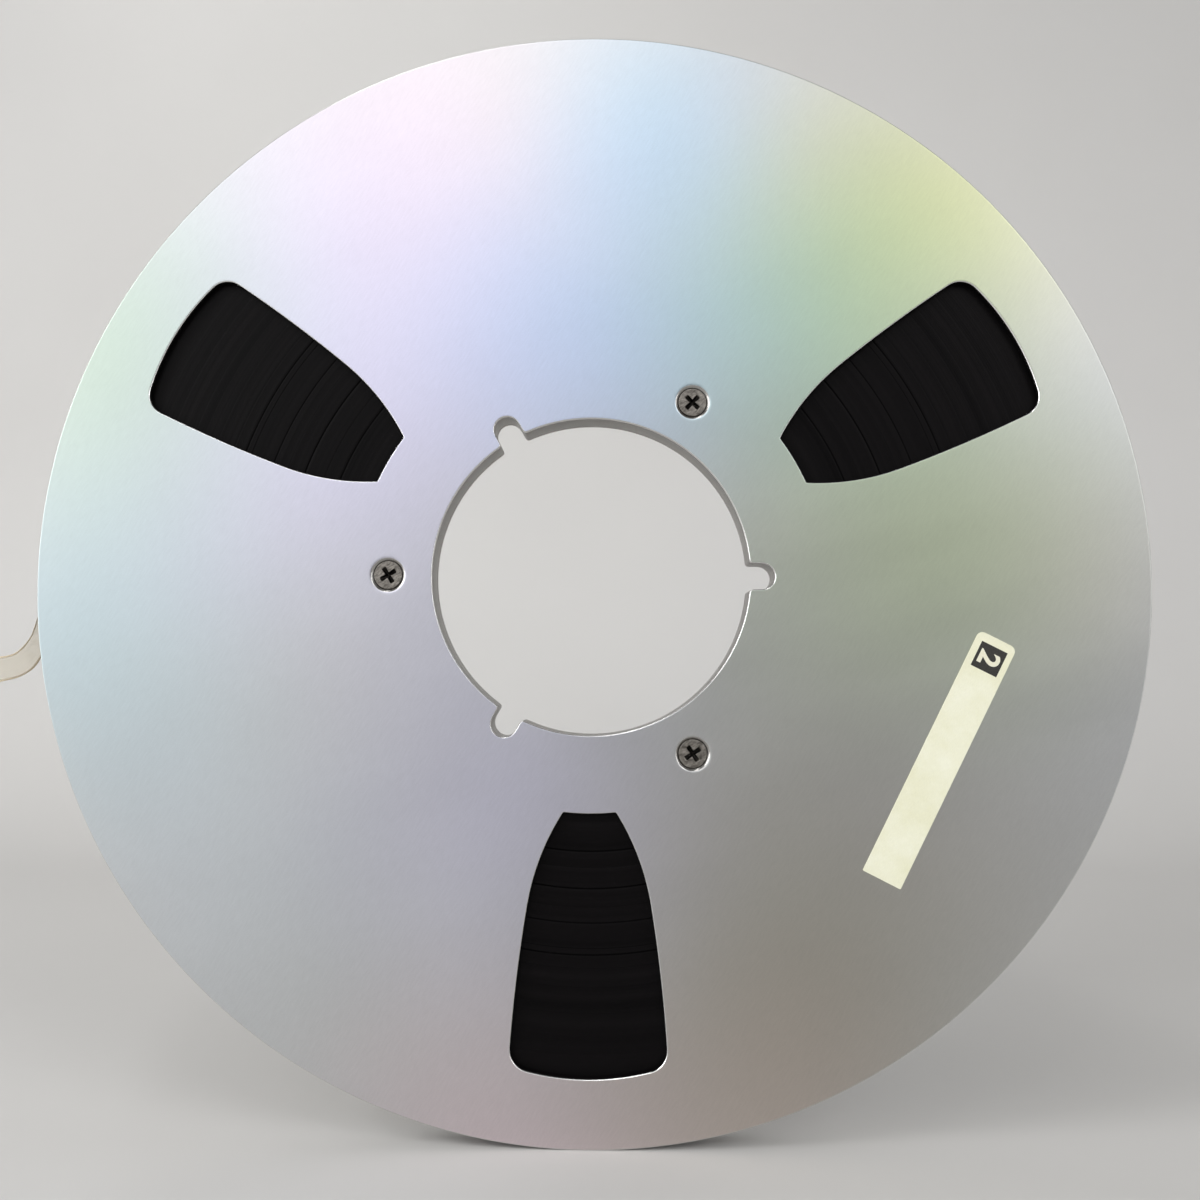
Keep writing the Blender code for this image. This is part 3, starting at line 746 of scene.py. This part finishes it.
turns, broad = ring_noise(2600.0, 4.0, 0.65), ring_noise(260.0, 3.0, 0.6)
tape_colour = mottled(tape_tree, broad, (0.0017, 0.0014, 0.0016), (0.0034, 0.0028, 0.0031))
tape_rough = ranged(tape_tree, broad, 0.3, 0.7, 0.36, 0.5)
SLACK_TURNS = (  # radius and half width in mm, and how dark it reads
    (65.4, 0.24, 1.0), (74.1, 0.24, 1.0), (82.1, 0.20, 0.9), (89.5, 0.22, 1.0), (88.0, 0.12, 0.7),
    (69.2, 0.10, 0.4), (78.4, 0.10, 0.4), (92.6, 0.12, 0.35), (97.0, 0.12, 0.3), (103.0, 0.12, 0.3),
)
# painted shade: at each slack turn the tape's colour goes to black, for the shade in its gap
for radius, half, dark in SLACK_TURNS:
    off_turn = sums(tape_tree, "ABSOLUTE", sums(tape_tree, "SUBTRACT", from_axis, radius * MM))
    slack = ranged(tape_tree, off_turn, 0.5 * half * MM, half * MM, dark, 0.0, smooth=True)
    tape_colour = mixed(tape_tree, slack, tape_colour, (0.0, 0.0, 0.0))
    tape_rough = blended(tape_tree, slack, tape_rough, 1.0)
tape_tree.links.new(tape_colour, tape_shader.inputs["Base Color"])
tape_tree.links.new(tape_rough, tape_shader.inputs["Roughness"])
bumped(tape_tree, tape_shader, turns, 0.03 * MM)

# %% Pack of tape
def pack_face(radii, seed):
    """Depth below the tape's full width: a slow random wander, and a shallow dip at each slack turn."""
    stray = np.random.default_rng(seed)
    knots = np.linspace(radii[0], radii[-1], 150)
    depth = np.interp(radii, knots, stray.uniform(0.0, 0.05 * MM, 150))
    for radius, half, dark in SLACK_TURNS:
        depth += 0.06 * MM * dark * np.exp(-(((radii - radius * MM) / (half * MM)) ** 2))
    return depth


half_width = TAPE_WIDTH / 2
PACK_STEPS = 160
pack_radii = np.unique(
    np.concatenate(
        [np.linspace(HUB_RADIUS / MM + 0.05, PACK_RADIUS / MM, 170)]
        + [radius + half * np.array([-2, -1, 0, 1, 2]) for radius, half, _ in SLACK_TURNS]
    )
) * MM
pack_profile = np.vstack(
    (
        np.column_stack((pack_radii, pack_face(pack_radii, 11) - half_width)),
        np.column_stack((pack_radii, half_width - pack_face(pack_radii, 23)))[::-1],
    )
)
pack_points = turned_wall((0.0, 0.0), pack_profile[:, 0], pack_profile[:, 1], PACK_STEPS)
pack_quads = quads(len(pack_profile), PACK_STEPS, closed_rows=True)
piece("wound_tape", pack_points, [pack_quads], tape_black, "tape_black", "tape_pack")

# %% [markdown]
# ## Leader film
#
# Leader is clear film with a cream cast, as thin as the tape. Its middle lets most light through.
# Towards its cut edges it is tan, cloudy and less clear: painted highlight, colour that stands for
# the glints along the film's edges. Both lengths of it are one oblong section carried along a route:
# the wrap lies flat round the pack, and the free end turns its face to the front outside the discs,
# then turns it back. The finish has to know how far it is from the film's middle, so each piece
# carries that as an attribute of its points, from -1 to 1.

# %% Cream film
cream_film, film_tree, film_shader = new_finish(
    "cream_leader_film", (0.93, 0.88, 0.77), 0.12, Transmission_Weight=0.8, IOR=1.45
)
film_place = object_place(film_tree)
rubbed = noise(film_tree, film_place, 160.0, 4.0, 0.6)
across_film = node(film_tree, "Attribute", attribute_name="across").outputs["Fac"]
from_middle = sums(film_tree, "ABSOLUTE", across_film)
uneven = sums(film_tree, "ADD", from_middle, sums(film_tree, "MULTIPLY", rubbed, 0.3))
# painted highlight: the film turns tan and less clear towards its cut edges, for the glints there
painted_edge_glint = ranged(film_tree, uneven, 0.92, 1.10, 0.0, 1.0, smooth=True)
clear = mottled(film_tree, rubbed, (0.95, 0.90, 0.79), (0.98, 0.95, 0.88))
film_tree.links.new(mixed(film_tree, painted_edge_glint, clear, (0.80, 0.67, 0.48)), film_shader.inputs["Base Color"])
film_tree.links.new(
    ranged(film_tree, painted_edge_glint, 0.0, 1.0, 0.94, 0.35), film_shader.inputs["Transmission Weight"]
)
clear_rough = ranged(film_tree, rubbed, 0.3, 0.7, 0.06, 0.16)
film_rough = sums(film_tree, "ADD", clear_rough, sums(film_tree, "MULTIPLY", painted_edge_glint, 0.2))
film_tree.links.new(film_rough, film_shader.inputs["Roughness"])

ACROSS = np.cos(np.linspace(0.0, np.pi, 13))  # closer together towards the cut edges
ACROSS = np.concatenate((ACROSS, ACROSS[-2:0:-1]))  # over one face and back over the other


def film_points(centres, across, cup=0.0):
    """Section carried along the centres: a flat oblong with round edges, its middle cupped by cup."""
    along = np.gradient(centres, axis=0)
    along /= np.linalg.norm(along, axis=1)[:, None]
    square = np.cross(along, across)
    face = np.concatenate(([0.0], np.ones(11), [0.0], -np.ones(11)))
    face[[1, 11]], face[[13, 23]] = 0.8, -0.8
    cup = np.broadcast_to(cup, len(centres))[:, None]
    off = FILM_THICK / 2 * face + cup * (ACROSS**2 - 1.0)
    return (
        centres[:, None]
        + (TAPE_WIDTH / 2 * ACROSS)[None, :, None] * across[:, None]
        + off[..., None] * square[:, None]
    )


def film(name, centres, across, cup, solid):
    points = film_points(centres, across, cup)
    rows, columns = points.shape[:2]
    caps = np.vstack((np.arange(columns)[::-1], (rows - 1) * columns + np.arange(columns)))
    made = piece(name, points, [quads(rows, columns), caps], cream_film, "leader_film", solid)
    made.data.attributes.new("across", "FLOAT", "POINT").data.foreach_set("value", np.tile(ACROSS, rows))
    return made


# %% The wrap and the free end
film("leader_turn", wrap_line, np.tile((0.0, 1.0, 0.0), (len(wrap_line), 1)), 0.0, "leader_wrap")

flat_run = straight_end - 0.3 * MM
free_share = np.clip((tail_run - flat_run) / (tail_run[-1] - flat_run), 0.0, 1.0)
twist = np.radians(75.0) * np.sin(np.pi * free_share**0.7) ** 2
tail_along = np.gradient(tail_line, axis=0)
tail_along /= np.linalg.norm(tail_along, axis=1)[:, None]
tail_across = (
    np.cos(twist)[:, None] * np.array([0.0, 1.0, 0.0])
    + np.sin(twist)[:, None] * np.cross(tail_along, (0.0, 1.0, 0.0))
)
tail_cup = 0.25 * MM * np.sin(np.pi * free_share)
free_end = film("leader_free_end", tail_line, tail_across, tail_cup, "leader_tail")

# %% [markdown]
# ## Label
#
# A narrow slip of cream paper is stuck on the front disc, with a dark printed square near its upper
# end. The paper is a thin plate like the discs, with its own small edge round. The square and the
# plain side number in it are flat shapes a hundredth of a millimetre proud: real print is thinner
# still, but two surfaces need some distance between them to be told apart.

# %% Paper and print
paper, paper_tree, paper_shader = new_finish(
    "cream_label_paper", (0.85, 0.84, 0.66), 0.85, Specular_IOR_Level=0.25
)
paper_place = object_place(paper_tree)
fibres = noise(paper_tree, stretched(paper_tree, paper_place, 64.0, 0.9 * MM, 0.12 * MM), 1.0, 4.0, 0.6)
ageing = noise(paper_tree, paper_place, 130.0, 5.0, 0.65)
paper_colour = mottled(paper_tree, ageing, (0.80, 0.79, 0.575), (0.88, 0.875, 0.71))
fibre_tone = ranged(paper_tree, fibres, 0.3, 0.7, 0.95, 1.04)
paper_tree.links.new(toned(paper_tree, paper_colour, fibre_tone), paper_shader.inputs["Base Color"])
bumped(paper_tree, paper_shader, fibres, 0.02 * MM)

ink, ink_tree, ink_shader = new_finish("printed_ink", (0.022, 0.020, 0.018), 0.6)
ink_mottle = noise(ink_tree, object_place(ink_tree), 2500.0, 3.0, 0.6)
ink_colour = mottled(ink_tree, ink_mottle, (0.017, 0.016, 0.014), (0.034, 0.031, 0.027))
ink_tree.links.new(ink_colour, ink_shader.inputs["Base Color"])

pale_ink, pale_tree, pale_shader = new_finish("pale_printed_ink", (0.80, 0.77, 0.62), 0.8)
pale_mottle = noise(pale_tree, object_place(pale_tree), 2500.0, 3.0, 0.6)
pale_colour = mottled(pale_tree, pale_mottle, (0.76, 0.74, 0.57), (0.83, 0.80, 0.66))
pale_tree.links.new(pale_colour, pale_shader.inputs["Base Color"])

LABEL_SLANT = 63.37
LABEL_CENTRE = 93.04 * MM * unit(-27.52)


def on_label(points):
    """From mm along the label, to its upper end, and across it, to the left, to the reel's plane."""
    return turned(np.asarray(points) * MM, LABEL_SLANT) + LABEL_CENTRE


def slip(outline, front, back, ease, band):
    """Wall of a thin plate: from its front face over a small broken edge to its back."""
    profile = edge_profile(front, back, (ease, ease / 2), band)
    return edge_wall(outline, profile, hole=False)


long_half, wide_half, round_end = 31.55, 4.925, 1.6
label_outline = np.vstack(
    (
        arc((long_half - round_end, -wide_half + round_end), round_end, -90.0, 0.0),
        arc((long_half - round_end, wide_half - round_end), round_end, 0.0, 90.0),
        [(-long_half, wide_half), (-long_half, -wide_half)],
    )
)
label_outline = eased(on_label(label_outline), 0.25 * MM, 0.2 * MM)
paper_wall = slip(label_outline, -5.155 * MM, -5.05 * MM, 0.03 * MM, 0.1 * MM)
plate("paper_slip", [paper_wall], paper, "label_paper", "label")

# %% Printed square and side number
square_outline = eased(
    on_label([(23.15, -3.42), (29.5, -3.42), (29.5, 3.24), (23.15, 3.24)]), 0.1 * MM, 0.03 * MM
)
square_wall = slip(square_outline, -5.162 * MM, -5.156 * MM, 0.001 * MM, 0.02 * MM)
plate("printed_square", [square_wall], ink, "label_paper")

# The digit is a text object made a mesh, whose doubled corners are merged before it is placed.
letters = bpy.data.curves.new("side_number", "FONT")
letters.body = "2"
letters.size = 6.9
letters.offset = 0.2
letters.extrude = 0.003
letters.align_x = "CENTER"
shaped = bpy.data.objects.new("side_number_shape", letters)
digit = bmesh.new()
digit.from_mesh(bpy.data.meshes.new_from_object(shaped))
bmesh.ops.remove_doubles(digit, verts=digit.verts, dist=1e-4)
bmesh.ops.triangulate(digit, faces=digit.faces)
glyph = np.array([corner.co for corner in digit.verts])
glyph_faces = np.array([[corner.index for corner in face.verts] for face in digit.faces])
digit.free()
bpy.data.objects.remove(shaped)
glyph[:, :2] -= (glyph[:, :2].min(axis=0) + glyph[:, :2].max(axis=0)) / 2
SQUARE_CENTRE = (26.3, -0.1)
glyph_place = on_label(np.array(SQUARE_CENTRE) - glyph[:, :2])
glyph_points = in_plane(glyph_place, -5.1655 * MM - glyph[:, 2] * MM)
number = piece("side_number", glyph_points, [glyph_faces], pale_ink, "label_paper")
number.data.shade_flat()
print("side number:", np.ptp(glyph, axis=0).round(2), "mm")

# %% [markdown]
# ## Floor, light and air
#
# A pale sweep stands behind and under the reel: a floor that curves up into a wall, computed as one
# profile drawn out sideways. Satin metal shows its room, so the light is the most of its look. The
# world holds a wide soft panel in front, cut off on a slant so that it reaches lower on the left:
# the discs are bright at the top and at the left, and fall off to the lower right. Lamps at the
# sides draw the rims. A thin lamp straight above and a small one at the upper left draw fine bright
# lines on the rounded edges that face them: the lower edges of the bore and the windows.

# %% Sweep
FLOOR_Z = -133.35 * MM
bend = np.radians(np.linspace(0.0, 90.0, 25))
sweep_profile = np.vstack(
    (
        [(-2.2, 0.0), (-0.4, 0.0), (0.30, 0.0)],
        np.column_stack((0.35 + 0.35 * np.sin(bend), 0.35 * (1 - np.cos(bend)))),
        [(0.70, 1.0), (0.70, 2.2)],
    )
)
sideways = np.linspace(-2.5, 2.5, 21)
sweep_points = np.stack(
    np.broadcast_arrays(sideways, sweep_profile[:, :1], FLOOR_Z + sweep_profile[:, 1:]), axis=-1
)
sweep_mesh = bpy.data.meshes.new("pale_sweep")
sweep_mesh.from_pydata(
    sweep_points.reshape(-1, 3).tolist(),
    [],
    quads(len(sweep_profile), 21, closed_columns=False).tolist(),
)
sweep_mesh.shade_smooth()
sweep = bpy.data.objects.new("pale_sweep", sweep_mesh)
bpy.context.scene.collection.objects.link(sweep)

card, card_tree, card_shader = new_finish("pale_card", (0.62, 0.61, 0.595), 0.9, Specular_IOR_Level=0.1)
card_cloud = noise(card_tree, object_place(card_tree), 5.0, 3.0, 0.5)
card_colour = mixed(card_tree, card_cloud, (0.60, 0.59, 0.575), (0.64, 0.63, 0.615))
card_tree.links.new(card_colour, card_shader.inputs["Base Color"])
sweep_mesh.materials.append(card)

# %% Lamps and world
def lamp(name, location, target, size, power, colour=(1.0, 1.0, 1.0)):
    """A rectangular lamp of this size in metres and power in watts, which faces its target."""
    light = bpy.data.lights.new(name, "AREA")
    light.shape = "RECTANGLE"
    light.size, light.size_y = size
    light.energy = power
    light.color = colour
    placed = bpy.data.objects.new(name, light)
    placed.matrix_world = aimed(location, Vector(target) - Vector(location), (0.0, 0.0, 1.0))
    bpy.context.scene.collection.objects.link(placed)


lamp("key_lamp", (-0.42, -0.85, 0.85), (0.0, 0.0, 0.0), (0.9, 0.5), 1.1, (1.0, 0.99, 0.98))
lamp("left_lamp", (-1.05, -0.40, 0.12), (0.0, 0.0, 0.0), (0.5, 0.8), 6.0)
lamp("right_lamp", (1.05, -0.50, 0.10), (0.0, 0.0, 0.0), (0.3, 0.8), 2.8)
lamp("fill_lamp", (0.75, -0.90, 0.60), (0.0, 0.0, 0.0), (0.5, 0.6), 3.1)
lamp("edge_lamp", (-0.28, -0.11, 1.00), (0.0, -0.03, 0.0), (1.7, 0.13), 3.6)
lamp("corner_lamp", (-0.80, -0.42, 0.50), (0.0, 0.0, 0.0), (0.3, 0.3), 2.2)

world = bpy.data.worlds.new("studio_air")
bpy.context.scene.world = world
world.use_nodes = True
air = world.node_tree
AIR_STRENGTH, PANEL_STRENGTH = 0.1, 1.50
towards = node(air, "SeparateXYZ", {0: node(air, "TexCoord").outputs["Generated"]}).outputs
in_front = ranged(air, towards["Y"], -0.95, -0.25, PANEL_STRENGTH, 0.0, smooth=True)
tilted = sums(air, "SUBTRACT", towards["Z"], sums(air, "MULTIPLY", towards["X"], 0.8))
rising = ranged(air, tilted, 0.1, 0.45, 0.0, 1.0, smooth=True)
ending = ranged(air, towards["Z"], 0.6, 0.9, 1.0, 0.0, smooth=True)
panel = sums(air, "MULTIPLY", in_front, sums(air, "MULTIPLY", rising, ending))
air.links.new(sums(air, "ADD", panel, AIR_STRENGTH), air.nodes["Background"].inputs["Strength"])
air.nodes["Background"].inputs["Color"].default_value = (0.98, 0.99, 1.0, 1.0)
bpy.context.scene.view_settings.view_transform = "Standard"
